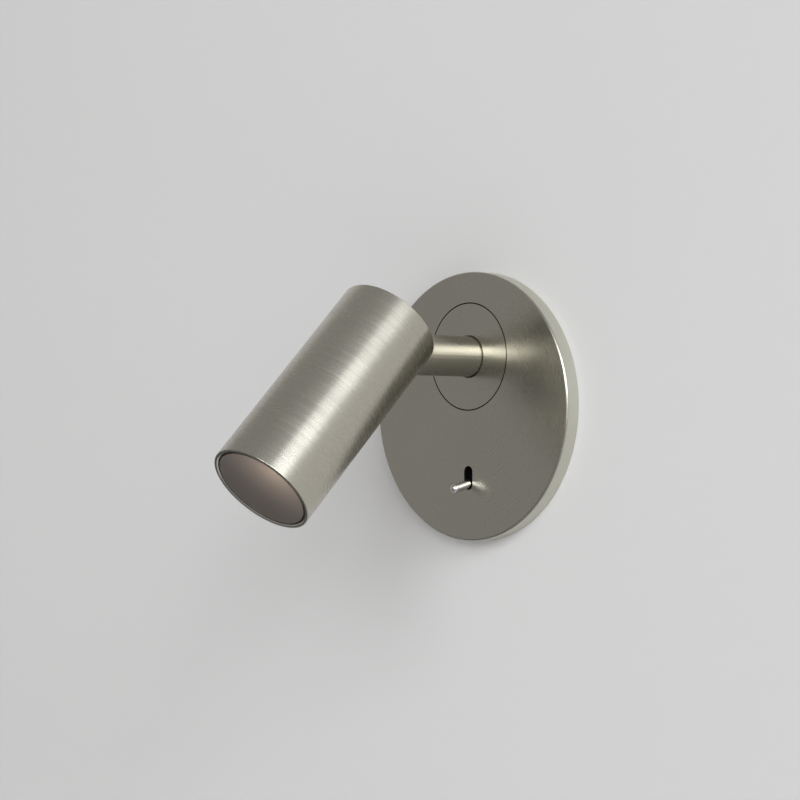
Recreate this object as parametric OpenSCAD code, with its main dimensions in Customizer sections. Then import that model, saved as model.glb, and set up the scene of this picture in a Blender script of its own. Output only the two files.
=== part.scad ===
/* [Faceplate] */
// Diameter of the round faceplate
plate_d = 100; // [98:1:120]
// Depth of the faceplate, from the wall to its front
plate_depth = 6.2; // [6:0.1:9]
// Thickness of the front of the faceplate
plate_front_t = 2.4; // [1.6:0.1:2.5]
// Thickness of the faceplate's rim
rim_wall = 2.2; // [1.4:0.1:2.4]
// Radius of the rounded front edge
edge_r = 0.9; // [0.3:0.1:1.3]
// Height of the stem's axis above the centre of the faceplate
stem_up = 18.5; // [16:0.5:19]
// Depth of the switch below the centre of the faceplate
switch_down = 26.6; // [24:0.2:27]
// Diameter of the magnets that hold the faceplate
magnet_d = 8; // [5:0.5:9]

/* [Turret] */
// Diameter of the flush disc round the stem
turret_d = 39.7; // [39:0.1:41]
// Diameter of the turret's spigot behind the chassis plate
spigot_d = 24; // [23:0.5:25]
// Length of the spigot behind the chassis plate
spigot_l = 8; // [6:0.5:10]
// Diameter of the dark ring gap at the foot of the stem
foot_gap_d = 16.7; // [16.6:0.1:17]
// Depth of the ring gap
foot_gap_depth = 3; // [2.5:0.1:4]

/* [Stem] */
// Diameter of the stem
stem_d = 15; // [14:0.1:15]
// Bore of the stem, for the lead
stem_bore_d = 5.4; // [4:0.1:6]
// Distance of the head's pivot from the wall
pivot_out = 56.9; // [54:0.1:70]
// Length of the stem behind the wall plane
stem_tail = 16; // [15.6:0.1:18]
// Width of the stem's tongue between the friction washers
tongue_w = 12.9; // [11:0.1:13]

/* [Head] */
// Outer diameter of the head's tube
head_d = 38.2; // [37.6:0.1:40]
// Wall of the head's tube
head_wall = 1.4; // [1:0.1:1.6]
// Length of the tube in front of the pivot
head_front = 67.7; // [66:0.1:90]
// Length of the tube behind the pivot
head_rear = 15.1; // [14:0.1:18]
// Radius of the tube's rounded ends
head_edge_r = 0.5; // [0.2:0.1:0.6]
// Angle of the head below the stem's line, at rest
head_tilt = 45; // [0:5:90]
// Thickness of the rear cap
cap_t = 2; // [1.5:0.1:3]
// Diameter of the pivot pin
pivot_pin_d = 4; // [3:0.1:5]
// Diameter of the lens
lens_d = 34.1; // [33:0.1:34.4]
// Thickness of the lens
lens_t = 1.95; // [1.5:0.05:3]
// Depth of the lens below the tube's end
lens_set_back = 0.4; // [0.2:0.1:1]
// Length of the heat sink's solid core
sink_l = 34.5; // [30:0.5:36]
// Diameter of the light-emitting board
board_d = 20; // [18:0.5:22]

/* [Switch] */
// Width of the slot for the switch lever
slot_w = 4.4; // [4.2:0.1:6]
// Height of the slot for the switch lever
slot_h = 8.9; // [8.6:0.1:11]
// Diameter of the lever outside the faceplate
lever_d = 3.4; // [2.6:0.1:3.6]
// Length of the lever from its pivot to its tip
lever_l = 17.5; // [14:0.1:20]
// Swing of the lever from the middle to either side
lever_swing = 14.1; // [10:0.1:14.5]
// Diameter of the switch's threaded bushing
bushing_d = 6; // [5.8:0.1:6.6]
// Height of the switch's body
switch_body_h = 10.6; // [9:0.1:12]
// Width of the switch's body
switch_body_w = 7; // [6.4:0.1:8]

/* [Recess can] */
// Outer diameter of the can that sits in the wall
can_d = 72; // [71:0.5:74]
// Depth of the can behind the wall plane
can_depth = 44; // [43:0.5:55]
// Thickness of the can's sheet steel
can_wall = 1; // [0.6:0.1:1.2]
// Thickness of the can's flange on the wall
flange_t = 1.6; // [1:0.1:1.8]
// Width of the wall screw slots
wall_slot_w = 4.5; // [3.5:0.1:5.5]
// Length of the wall screw slots
wall_slot_l = 8; // [6:0.1:9]
// Thickness of the chassis plate
chassis_t = 1.6; // [1.2:0.1:1.7]
// Bore of the rubber grommet for the supply cable
cable_bore_d = 7.6; // [6:0.1:8]

/* [Electrics] */
// Width of the LED driver
driver_w = 44; // [36:0.5:46]
// Height of the LED driver
driver_h = 30; // [28:0.5:30]
// Thickness of the LED driver
driver_t = 18.3; // [12:0.1:19]
// Width of the terminal block
terminal_w = 24; // [21:0.5:26]
// Diameter of the sheathed lead to the head
lead_d = 5; // [3.4:0.1:5.1]
// Diameter of the single-core wires
wire_d = 1.8; // [1.2:0.1:2.2]

/* [Hidden] */
$fn = 96;

// Overrun of every cut past the face that it opens
cut = 1;
// Gap of a shaft that turns in its bore
run_gap = 0.05;
// Gap round a part that is seated in another
seat_gap = 0.05;
// Gap round a part that is dropped into place
drop_gap = 0.3;
// Gap that keeps a moving part off a fixed one
move_gap = 0.6;

// Faceplate and its magnets
plate_r = plate_d / 2;
plate_back = plate_depth - plate_front_t;
turret_gap = 0.3;
turret_r = turret_d / 2;
turret_hole_r = turret_r + turret_gap;
magnet_angles = [45, 135, 225, 315];
magnet_rim_gap = 2.2;
magnet_at = plate_r - rim_wall - magnet_rim_gap - magnet_d / 2;
magnet_back = max(flange_t, chassis_t) + seat_gap;

// Recess can
can_r = can_d / 2;
can_inner_r = can_r - can_wall;
can_floor = -can_depth + can_wall;
can_edge_r = can_wall / 2;
flange_gap = 0.6;
flange_r = plate_r - rim_wall - flange_gap;
flange_mid_r = (can_r + flange_r) / 2;
lug_angles = [30, 150, 205, 335];
lug_w = 9;
lug_l = 9.5;
lug_t = 1.2;
lug_leg = 7;

// Machine screws: an M3 shank with a pan head and a driver recess
screw_r = 1.5;
screw_head_r = 2.8;
screw_head_h = 1.9;
screw_hole_gap = 0.1;
recess_w = 0.8;
recess_depth = 0.9;
chassis_screw_l = 6;
turret_screw_l = 4.4;

// Chassis plate
chassis_gap = 0.4;
chassis_r = can_inner_r - chassis_gap;
chassis_hole_gap = 0.1;
lug_mid_r = can_inner_r - lug_l / 2;
switch_window_r = 6;

// Turret, bush and washers, from front to back
spigot_r = spigot_d / 2;
screw_wall = 1;
boss_bolt_r = spigot_r + screw_head_r + 2 * screw_hole_gap;
boss_r = boss_bolt_r + screw_r + screw_wall;
bush_wall = 1.05;
foot_gap_r = foot_gap_d / 2;
stem_r = stem_d / 2;
bush_r = stem_r + run_gap + bush_wall;
bush_flange_r = bush_r + bush_wall;
bush_flange_t = 1;
bush_front = plate_depth - foot_gap_depth;
bush_back = -spigot_l;
wave_t = 0.5;
wave_h = 1;
wave_count = 3;
washer_gap = 0.05;
washer_back = bush_back - bush_flange_t - washer_gap;
ring_t = 1;
ring_groove_depth = 0.8;
ring_front = washer_back - wave_h - washer_gap;
ring_back = ring_front - ring_t;
ring_r = bush_flange_r;
ring_mouth = 5;
stop_r = 1;
stop_orbit_r = spigot_r - stop_r - 0.1 * stop_r;
stop_pin_z = ring_back - stop_r - 1.4 * stop_r;
stop_pin_root = 3.2;
stop_peg_root = 3;
collar_t = 1;
collar_gap = 0.25;
collar_r = foot_gap_r - collar_gap;

// Stem's outer end
tongue_l = 10;
tongue_half = tongue_w / 2;
tongue_relief = 0.3;
tongue_r = stem_r - tongue_relief;
slot_half = stem_r + move_gap;
lead_exit_back = 9.4;
lead_exit_r = lead_d / 2;
stem_bore_r = stem_bore_d / 2;
lead_r = lead_d / 2;

// Head
head_r = head_d / 2;
bore_r = head_r - head_wall;
head_bevel = 0.4;
cap_front = -head_rear + cap_t;
sink_r = bore_r - seat_gap;
cheek_gap = 0.5;
cheek_in = stem_r + cheek_gap;
tongue_room = 2;
sink_back = stem_r + tongue_room;
sink_front = sink_back + sink_l;
fin_count = 6;
fin_gap = 2.4;
fin_depth = 3.4;
pivot_pin_r = pivot_pin_d / 2;
pivot_pin_end = 0.6;
washer_r = 6.4;
board_r = board_d / 2;
board_t = 1.6;
board_screw_at = 7.4;
board_screw_r = 1.25;
board_screw_head_r = 2.2;
board_screw_head_h = 1.4;
board_screw_l = 6;
chip_r = 4.4;
chip_t = 0.9;
board_lead_r = 1.4;
board_lead_at = 13;
board_lead_tail = 4;
lens_r = lens_d / 2;
lens_front = head_front - lens_set_back;
lens_back = lens_front - lens_t;
lens_dish = 0.5;
lens_rim = 0.3;
gasket_set_back = 0.6;
gasket_shelf = 1.3;
gasket_back = lens_back - seat_gap - gasket_shelf;
gasket_lip = 1.6;
gasket_r = bore_r - seat_gap;
reflector_t = 0.8;
reflector_throat_r = 5.6;
reflector_foot_w = 2.2;
reflector_front = gasket_back - seat_gap;
reflector_back = sink_front + board_t + seat_gap;
reflector_mouth_r = gasket_r - reflector_foot_w;
grub_at = 30;
grub_r = 1.5;
grub_l = 3;
grub_set_back = 0.2;
hex_recess_r = 0.9;
hex_recess_depth = 1.4;

// Switch, from its pivot
switch_pivot_back = 2.2;
bushing_r = bushing_d / 2;
bushing_wall = 0.8;
bushing_bore_r = bushing_r - bushing_wall;
bushing_front = 3.4;
bushing_back = -4.8;
lever_r = lever_d / 2;
lever_neck_r = 1.2;
lever_neck_l = 4.4;
lever_tail_r = 0.8;
lever_tail_l = 6.6;
lever_ball_r = bushing_bore_r - 2 * run_gap;
lever_groove_r = 0.3;
lever_groove_at = 1.9;
switch_pin_r = 0.6;
bracket_t = 1;
bracket_back = bushing_back;
bracket_front = bracket_back + bracket_t;
lock_washer_t = 0.5;
lock_washer_r = 4.4;
nut_t = 2;
nut_across_r = 4.6;
body_back = -14.6;
body_cavity_w = 4.4;
body_cavity_depth = 5;
body_cavity_h = 7.6;
switch_tab_w = 2;
switch_tab_t = 0.8;
switch_tab_l = 4;
switch_tab_at = 2.5;
bracket_leg_at = 8;
bracket_foot = 5.4;
bracket_low = 4.4;
bracket_high = 8;
rivet_r = 1.2;
rivet_head_r = 2.1;
rivet_head_h = 0.8;
rivet_up = 3.4;
rivet_at = bracket_leg_at + bracket_foot / 2;

// Electrics in the can
pad_t = 0.6;
driver_low = -8;
driver_edge_r = 2;
driver_back = can_floor + pad_t;
driver_front = driver_back + driver_t;
driver_panel_w = 34;
driver_panel_h = 14;
driver_panel_depth = 0.4;
terminal_left = -9;
terminal_low = -27;
terminal_h = 14;
terminal_t = 14;
terminal_count = 3;
terminal_pitch = terminal_w / terminal_count;
terminal_back = can_floor;
terminal_front = terminal_back + terminal_t;
terminal_hole_r = 1.6;
terminal_screw_r = 1.9;
terminal_screw_h = 1.4;
terminal_sink = 2.4;
groove_w = 1.2;
groove_depth = 2;
cable_at = [-21.5, -15];
grommet_wall = 1.3;
grommet_neck_r = cable_bore_d / 2 + grommet_wall;
grommet_flange_w = 1.5;
grommet_flange_r = grommet_neck_r + grommet_flange_w;
grommet_flange_t = 1.5;
earth_at = [25.5, -12];
tag_r = 3.6;
tag_t = 0.6;
tag_tail = 4.6;
tag_barrel_r = 1.4;
earth_screw_r = 2;
earth_screw_head_r = 3.3;
earth_screw_head_h = 2.1;
earth_screw_l = 3;
wire_r = wire_d / 2;
wire_sides = 8;
wire_grip = 1;
terminal_top = terminal_low + terminal_h;
terminal_mid = terminal_back + terminal_t / 2;
wire_channel = (terminal_top + driver_low) / 2;
wire_level = -switch_pivot_back + body_back - switch_tab_l / 2;

// Outlines

module capsule_outline(width, length) {
    reach = (length - width) / 2;
    square([width, 2 * reach], center = true);
    for (side = [-1, 1]) translate([0, side * reach]) circle(d = width);
}

// Half of a round slab's section, with a rounded outer front edge
module rounded_edge_outline(r, front, edge) {
    square([r - edge, front]);
    square([r, front - edge]);
    translate([r - edge, front - edge]) circle(edge);
}

// Placing. On the wall, z runs out of the wall and y runs up.
// On the head, z runs along the tube to the lens and the slot is on the -y side.

module on_wall() rotate([90, 0, 0]) children();

module on_stem() on_wall() translate([0, stem_up, 0]) children();

module on_head() on_stem() translate([0, 0, pivot_out]) rotate([head_tilt, 0, 0]) children();

module on_switch() on_wall() translate([0, -switch_down, -switch_pivot_back]) children();

module disc(r, back, front) translate([0, 0, back]) cylinder(r = r, h = front - back);

module ring(r, bore, back, front) {
    difference() {
        disc(r, back, front);
        disc(bore, back - cut, front + cut);
    }
}

module slab(width, height, back, front) {
    translate([-width / 2, -height / 2, back]) cube([width, height, front - back]);
}

module cross_pin(r, from, to) translate([from, 0, 0]) rotate([0, 90, 0]) cylinder(r = r, h = to - from);

// A pan-head screw whose head stands on z = 0 and whose shank runs down from it
module pan_screw(shank_r, length, head_r, head_h) {
    difference() {
        union() {
            disc(shank_r, -length, 0);
            disc(head_r, 0, head_h);
        }
        for (turn = [0, 90]) rotate(turn) slab(1.2 * head_r, recess_w, head_h - recess_depth, head_h + cut);
    }
}

// Fixed parts at the wall

module faceplate() {
    color([0.62, 0.60, 0.54]) on_wall() difference() {
        rotate_extrude($fn = 180) difference() {
            rounded_edge_outline(plate_r, plate_depth, edge_r);
            translate([0, -cut]) square([plate_r - rim_wall, plate_back + cut]);
        }
        translate([0, stem_up, 0]) disc(turret_hole_r, -cut, plate_depth + cut);
        translate([0, -switch_down, 0]) linear_extrude(plate_depth + cut) capsule_outline(slot_w, slot_h);
    }
}

module plate_magnets() {
    color([0.72, 0.73, 0.74]) on_wall() for (angle = magnet_angles) rotate(angle)
        translate([magnet_at, 0, 0]) disc(magnet_d / 2, magnet_back, plate_back);
}

// The can is a welded tube with a base on its back end and a flange on its front end
module recess_can() {
    color([0.66, 0.67, 0.68]) on_wall() ring(can_r, can_inner_r, can_floor, 0);
}

module can_base() {
    color([0.66, 0.67, 0.68]) on_wall() difference() {
        translate([0, 0, can_floor]) mirror([0, 0, 1]) rotate_extrude()
            rounded_edge_outline(can_r, can_wall, can_edge_r);
        translate(cable_at) disc(grommet_neck_r, -can_depth - cut, can_floor + cut);
        translate(earth_at) disc(earth_screw_r + screw_hole_gap, -can_depth - cut, can_floor + cut);
    }
}

module can_flange() {
    color([0.66, 0.67, 0.68]) on_wall() difference() {
        ring(flange_r, can_inner_r, 0, flange_t);
        for (side = [-1, 1]) translate([side * flange_mid_r, 0, -cut]) rotate(90)
            linear_extrude(flange_t + 2 * cut) capsule_outline(wall_slot_w, wall_slot_l);
    }
}

// Angle pieces that stand inside the can's wall and carry the chassis plate
module can_lugs() {
    color([0.66, 0.67, 0.68]) on_wall() for (angle = lug_angles) rotate(angle) difference() {
        intersection() {
            disc(can_inner_r - seat_gap, -lug_leg, 0);
            union() {
                translate([lug_mid_r, 0, 0]) slab(lug_l, lug_w, -lug_t, 0);
                translate([can_inner_r, 0, 0]) slab(2 * lug_t, lug_w, -lug_leg, 0);
            }
        }
        translate([lug_mid_r, 0, 0]) disc(screw_r + screw_hole_gap, -lug_t - cut, cut);
    }
}

module chassis_plate() {
    color([0.70, 0.71, 0.72]) on_wall() difference() {
        disc(chassis_r, 0, chassis_t);
        translate([0, stem_up, 0]) disc(spigot_r + chassis_hole_gap, -cut, chassis_t + cut);
        translate([0, -switch_down, 0]) disc(switch_window_r, -cut, chassis_t + cut);
        for (angle = lug_angles) rotate(angle) translate([lug_mid_r, 0, 0])
            disc(screw_r + screw_hole_gap, -cut, chassis_t + cut);
        for (side = [-1, 1]) {
            translate([side * boss_bolt_r, stem_up, 0]) disc(screw_r + screw_hole_gap, -cut, chassis_t + cut);
            translate([side * rivet_at, rivet_up - switch_down, 0])
                disc(rivet_r + screw_hole_gap, -cut, chassis_t + cut);
        }
    }
}

module chassis_screws() {
    color([0.78, 0.79, 0.80]) on_wall() for (angle = lug_angles) rotate(angle)
        translate([lug_mid_r, 0, chassis_t]) pan_screw(screw_r, chassis_screw_l, screw_head_r, screw_head_h);
}

module turret() {
    color([0.62, 0.60, 0.54]) on_stem() difference() {
        union() {
            disc(turret_r, plate_back, plate_depth);
            disc(boss_r, chassis_t, plate_back);
            disc(spigot_r, -spigot_l, chassis_t);
        }
        disc(foot_gap_r, -spigot_l - cut, plate_depth + cut);
        disc(bush_r, -spigot_l - cut, bush_front);
        for (side = [-1, 1]) translate([side * boss_bolt_r, 0, 0])
            disc(screw_r + screw_hole_gap, -cut, turret_screw_l + screw_hole_gap);
        translate([0, -stop_orbit_r, 0]) disc(stop_r, -spigot_l - cut, -spigot_l + stop_peg_root);
    }
}

module turret_screws() {
    color([0.78, 0.79, 0.80]) on_stem() for (side = [-1, 1]) translate([side * boss_bolt_r, 0, 0])
        rotate([180, 0, 0]) pan_screw(screw_r, turret_screw_l, screw_head_r, screw_head_h);
}

module stop_peg() {
    color([0.55, 0.55, 0.56]) on_stem() translate([0, -stop_orbit_r, 0])
        disc(stop_r, stop_pin_z - stop_r, -spigot_l + stop_peg_root);
}

module stem_bush() {
    color([0.12, 0.12, 0.12]) on_stem() difference() {
        union() {
            disc(bush_r, bush_back, bush_front);
            disc(bush_flange_r, bush_back - bush_flange_t, bush_back);
        }
        disc(stem_r + run_gap, bush_back - bush_flange_t - cut, bush_front + cut);
    }
}

// A spring washer of three waves, as one closed band that follows a cosine
module wave_washer() {
    steps = 72;
    bore = stem_r + drop_gap;
    rim = bush_flange_r;
    swing = (wave_h - wave_t) / 2;
    mid = washer_back - wave_h / 2;
    function height(i) = mid + swing * cos(wave_count * 360 * i / steps);
    function corner(r, a, z) = [r * cos(a), r * sin(a), z];
    points = [for (i = [0:steps - 1]) let (
        a = 360 * i / steps, low = height(i) - wave_t / 2, high = height(i) + wave_t / 2
    ) each [corner(bore, a, low), corner(rim, a, low), corner(rim, a, high), corner(bore, a, high)]];
    faces = [for (i = [0:steps - 1], k = [0:3]) let (
        here = 4 * i, next = 4 * ((i + 1) % steps), l = (k + 1) % 4
    ) each [[here + k, here + l, next + l], [here + k, next + l, next + k]]];
    color([0.60, 0.60, 0.62]) on_stem() polyhedron(points, faces);
}

// Switch

module switch_bracket() {
    low = -bracket_low;
    height = bracket_low + bracket_high;
    foot_back = switch_pivot_back - bracket_t;
    color([0.70, 0.71, 0.72]) on_switch() difference() {
        union() {
            translate([-bracket_leg_at, low, bracket_back]) cube([2 * bracket_leg_at, height, bracket_t]);
            for (side = [0, 1]) mirror([side, 0, 0]) {
                translate([bracket_leg_at - bracket_t, low, bracket_back])
                    cube([bracket_t, height, switch_pivot_back - bracket_back]);
                translate([bracket_leg_at - bracket_t, rivet_up - bracket_foot / 2, foot_back])
                    cube([bracket_t + bracket_foot, bracket_foot, bracket_t]);
            }
        }
        disc(bushing_r + chassis_hole_gap, bracket_back - cut, bracket_front + cut);
        for (side = [-1, 1]) translate([side * rivet_at, rivet_up, 0])
            disc(rivet_r + screw_hole_gap, foot_back - cut, switch_pivot_back + cut);
    }
}

module bracket_rivets() {
    top = switch_pivot_back + chassis_t;
    bottom = switch_pivot_back - bracket_t;
    color([0.80, 0.80, 0.81]) on_switch() for (side = [-1, 1]) translate([side * rivet_at, rivet_up, 0]) {
        disc(rivet_r, bottom - rivet_head_h, top + rivet_head_h);
        disc(rivet_head_r, top, top + rivet_head_h);
        disc(rivet_head_r, bottom - rivet_head_h, bottom);
    }
}

module switch_body() {
    color([0.16, 0.20, 0.30]) on_switch() difference() {
        slab(switch_body_w, switch_body_h, body_back, bushing_back);
        slab(body_cavity_w, body_cavity_h, bushing_back - body_cavity_depth, bushing_back + cut);
        for (side = [-1, 1]) translate([0, side * switch_tab_at, 0])
            slab(switch_tab_w, switch_tab_t, body_back - cut, body_back + switch_tab_l / 2);
    }
}

module switch_bushing() {
    color([0.76, 0.77, 0.78]) on_switch() difference() {
        disc(bushing_r, bushing_back, bushing_front);
        disc(bushing_bore_r, bushing_back - cut, bushing_front + cut);
        cross_pin(switch_pin_r, -bushing_r - cut, bushing_r + cut);
    }
}

module switch_lock_washer() {
    color([0.72, 0.73, 0.74]) on_switch()
        ring(lock_washer_r, bushing_r + screw_hole_gap, bracket_front, bracket_front + lock_washer_t);
}

module switch_nut() {
    nut_back = bracket_front + lock_washer_t;
    color([0.76, 0.77, 0.78]) on_switch() difference() {
        translate([0, 0, nut_back]) cylinder(r = nut_across_r, h = nut_t, $fn = 6);
        disc(bushing_r + seat_gap, nut_back - cut, nut_back + nut_t + cut);
    }
}

module switch_pin() {
    reach = bushing_r - seat_gap;
    color([0.60, 0.60, 0.62]) on_switch() cross_pin(switch_pin_r, -reach, reach);
}

module switch_terminals() {
    color([0.80, 0.78, 0.70]) on_switch() for (side = [-1, 1]) translate([0, side * switch_tab_at, 0])
        slab(switch_tab_w, switch_tab_t, body_back - switch_tab_l, body_back + switch_tab_l / 2);
}

// Half of the lever's section, from the tail at the bottom to the domed tip
module lever_outline() {
    translate([0, -lever_tail_l]) square([lever_tail_r, lever_tail_l]);
    square([lever_neck_r, lever_neck_l]);
    translate([0, lever_neck_l]) square([lever_r, lever_l - lever_r - lever_neck_l]);
    intersection() {
        union() {
            circle(lever_ball_r);
            translate([0, lever_l - lever_r]) circle(lever_r);
        }
        translate([0, -lever_l]) square([lever_l, 3 * lever_l]);
    }
}

module switch_lever() {
    color([0.82, 0.82, 0.80]) on_switch() rotate([lever_swing, 0, 0]) difference() {
        rotate_extrude() difference() {
            lever_outline();
            translate([lever_r, lever_l - lever_groove_at]) circle(lever_groove_r);
        }
        cross_pin(switch_pin_r + run_gap, -bushing_r, bushing_r);
    }
}

// Electrics in the can

module led_driver() {
    mid = [0, driver_low + driver_h / 2, 0];
    core_w = driver_w - 2 * driver_edge_r;
    core_h = driver_h - 2 * driver_edge_r;
    color([0.90, 0.90, 0.88]) on_wall() translate(mid) difference() {
        translate([0, 0, driver_back]) linear_extrude(driver_t) {
            square([driver_w, core_h], center = true);
            square([core_w, driver_h], center = true);
            for (x = [-1, 1], y = [-1, 1]) translate([x * core_w / 2, y * core_h / 2]) circle(driver_edge_r);
        }
        slab(driver_panel_w, driver_panel_h, driver_front - driver_panel_depth, driver_front + cut);
    }
}

module driver_pad() {
    color([0.20, 0.20, 0.20]) on_wall() translate([0, driver_low + driver_h / 2, 0])
        slab(driver_w - 2 * driver_edge_r, driver_h - 2 * driver_edge_r, can_floor, driver_back);
}

module output_lead() {
    color([0.90, 0.90, 0.88]) on_stem() disc(lead_r, driver_front, -stem_tail - drop_gap);
}

module terminal_block() {
    color([0.93, 0.93, 0.90]) on_wall() translate([terminal_left, terminal_low, 0]) difference() {
        translate([0, 0, terminal_back]) cube([terminal_w, terminal_h, terminal_t]);
        for (i = [0:terminal_count - 1]) translate([(i + 0.5) * terminal_pitch, 0, 0]) {
            translate([0, -cut, terminal_back + terminal_t / 2]) rotate([-90, 0, 0])
                cylinder(r = terminal_hole_r, h = terminal_h + 2 * cut);
            translate([0, terminal_h / 2, 0])
                disc(terminal_screw_r + seat_gap, terminal_back + terminal_t / 2, terminal_front + cut);
        }
        for (i = [1:terminal_count - 1])
            translate([i * terminal_pitch - groove_w / 2, -cut, terminal_front - groove_depth])
                cube([groove_w, terminal_h + 2 * cut, groove_depth + cut]);
    }
}

module terminal_screws() {
    top = terminal_front - terminal_sink;
    color([0.80, 0.80, 0.81]) on_wall() for (i = [0:terminal_count - 1])
        translate([terminal_x(i), terminal_low + terminal_h / 2, 0]) difference() {
            disc(terminal_screw_r, top - terminal_screw_h, top);
            slab(3 * terminal_screw_r, recess_w, top - recess_depth / 2, top + cut);
        }
}

module cable_grommet() {
    color([0.10, 0.10, 0.10]) on_wall() translate(cable_at) difference() {
        union() {
            disc(grommet_flange_r, -can_depth - grommet_flange_t, -can_depth);
            disc(grommet_neck_r, -can_depth, can_floor);
            disc(grommet_flange_r, can_floor, can_floor + grommet_flange_t);
        }
        disc(cable_bore_d / 2, -can_depth - grommet_flange_t - cut, can_floor + grommet_flange_t + cut);
    }
}

module earth_tag() {
    color([0.80, 0.78, 0.70]) on_wall() translate([earth_at.x, earth_at.y, can_floor]) difference() {
        union() {
            disc(tag_r, 0, tag_t);
            translate([-(tag_r + tag_tail) / 2, 0, 0]) slab(tag_r + tag_tail, 2 * tag_barrel_r, 0, tag_t);
            translate([0, 0, tag_barrel_r]) cross_pin(tag_barrel_r, -tag_r - tag_tail, -tag_r);
        }
        disc(earth_screw_r + screw_hole_gap, -cut, tag_t + cut);
    }
}

module earth_screw() {
    color([0.78, 0.72, 0.50]) on_wall() translate([earth_at.x, earth_at.y, can_floor + tag_t])
        pan_screw(earth_screw_r, earth_screw_l, earth_screw_head_r, earth_screw_head_h);
}

// Single-core wires: each is one tube swept along a smooth line through a few points

function unit(v) = v / norm(v);

function between(a, b, c, d, t) = 0.5 * (2 * b + (c - a) * t + (2 * a - 5 * b + 4 * c - d) * t * t
    + (3 * b - a - 3 * c + d) * t * t * t);

function smooth_line(p, steps) = let (last = len(p) - 1) [
    for (i = [0:last - 1], s = [0:steps - 1])
        between(p[max(i - 1, 0)], p[i], p[i + 1], p[min(i + 2, last)], s / steps),
    p[last]
];

module wire(points, steps = 4) {
    line = smooth_line(points, steps);
    n = len(line);
    side_ref = [1, 0.3, 0.1];
    rings = [for (i = [0:n - 1]) let (
        along = unit(line[min(i + 1, n - 1)] - line[max(i - 1, 0)]),
        u = unit(cross(along, side_ref)), v = cross(along, u)
    ) for (k = [0:wire_sides - 1]) let (
        a = 360 * k / wire_sides
    ) line[i] + wire_r * (cos(a) * u + sin(a) * v)];
    walls = [for (i = [0:n - 2], k = [0:wire_sides - 1]) let (
        a = i * wire_sides + k, b = i * wire_sides + (k + 1) % wire_sides
    ) each [[a, b + wire_sides, b], [a, a + wire_sides, b + wire_sides]]];
    first = [for (k = [0:wire_sides - 1]) k];
    last = [for (k = [wire_sides - 1:-1:0]) (n - 1) * wire_sides + k];
    polyhedron(rings, concat(walls, [first, last]));
}

function terminal_x(i) = terminal_left + (i + 0.5) * terminal_pitch;

// The last stretch of a wire, straight onto the outer face of the upper or lower switch terminal
function onto_tab(side) = let (face = side * (switch_tab_at + switch_tab_t / 2) - switch_down) [
    [0, face + side * 1.5 * wire_d, wire_level], [0, face + side * wire_r, wire_level],
    [0, face, wire_level]
];

// The first stretch of a wire, straight out of the terminal block
function out_of_terminal(i) = [
    [terminal_x(i), terminal_top - wire_grip, terminal_mid],
    [terminal_x(i), terminal_top + wire_r, terminal_mid]
];

module live_wire() {
    x = terminal_x(0);
    color([0.45, 0.25, 0.14]) on_wall() wire(concat(out_of_terminal(0), [
        [x, wire_channel, terminal_mid + wire_d], [x, wire_channel, terminal_front],
        [x / 2, terminal_top - wire_d, wire_level]
    ], onto_tab(1)));
}

module switched_wire() {
    x = terminal_x(2);
    start = driver_front - 2 * wire_d;
    color([0.20, 0.20, 0.22]) on_wall() wire(concat([
        [x, driver_low, start], [x, driver_low - wire_r / 2, start], [x, driver_low - wire_r, start],
        [x, wire_channel - wire_r, start + wire_d], [x, terminal_top - 2 * wire_d, wire_level],
        [switch_body_w, -switch_down, wire_level],
        [switch_body_w / 2, -switch_down - switch_body_h / 2 - wire_r, wire_level]
    ], onto_tab(-1)));
}

module neutral_wire() {
    x = terminal_x(1);
    color([0.15, 0.35, 0.65]) on_wall() wire(concat(out_of_terminal(1), [[x, driver_low, terminal_mid]]));
}

module earth_wire() {
    x = terminal_x(2);
    barrel = [earth_at.x - tag_r - tag_tail, earth_at.y, can_floor + tag_barrel_r];
    color([0.35, 0.60, 0.20]) on_wall() wire(concat(out_of_terminal(2), [
        [x + wire_r, wire_channel, terminal_mid - 2 * wire_d], [barrel.x - wire_d, barrel.y, barrel.z],
        [barrel.x - wire_r / 2, barrel.y, barrel.z], barrel
    ]));
}

// Stem, which turns in the turret's bush

module stem() {
    color([0.62, 0.60, 0.54]) on_stem() difference() {
        union() {
            disc(stem_r, -stem_tail, pivot_out - tongue_l);
            disc(collar_r, bush_front + washer_gap, bush_front + washer_gap + collar_t);
            intersection() {
                disc(stem_r, pivot_out - tongue_l, pivot_out + stem_r);
                union() {
                    slab(tongue_w, 2 * tongue_r, pivot_out - tongue_l, pivot_out);
                    translate([0, 0, pivot_out]) cross_pin(tongue_r, -tongue_half, tongue_half);
                }
            }
        }
        translate([0, 0, pivot_out]) cross_pin(pivot_pin_r + run_gap, -stem_r, stem_r);
        disc(stem_bore_r, -stem_tail - cut, pivot_out - lead_exit_back);
        translate([0, 0, pivot_out - lead_exit_back]) rotate([-90, 0, 0])
            cylinder(r = lead_exit_r, h = stem_d);
        difference() {
            disc(stem_d, ring_back, ring_front);
            disc(stem_r - ring_groove_depth, ring_back - cut, ring_front + cut);
        }
        translate([0, stop_pin_root, stop_pin_z]) rotate([-90, 0, 0]) cylinder(r = stop_r, h = stem_d);
    }
}

module retaining_ring() {
    mouth_h = 2 * (ring_r - stem_r + 2 * ring_groove_depth);
    color([0.35, 0.35, 0.36]) on_stem() difference() {
        disc(ring_r, ring_back + washer_gap, ring_front - washer_gap);
        disc(stem_r - ring_groove_depth + seat_gap, ring_back - cut, ring_front + cut);
        translate([0, -ring_r, 0]) slab(ring_mouth, mouth_h, ring_back - cut, ring_front + cut);
    }
}

module stop_pin() {
    reach = stop_orbit_r + 0.7 * stop_r;
    color([0.55, 0.55, 0.56]) on_stem() translate([0, stop_pin_root, stop_pin_z]) rotate([-90, 0, 0])
        cylinder(r = stop_r, h = reach - stop_pin_root);
}

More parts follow.
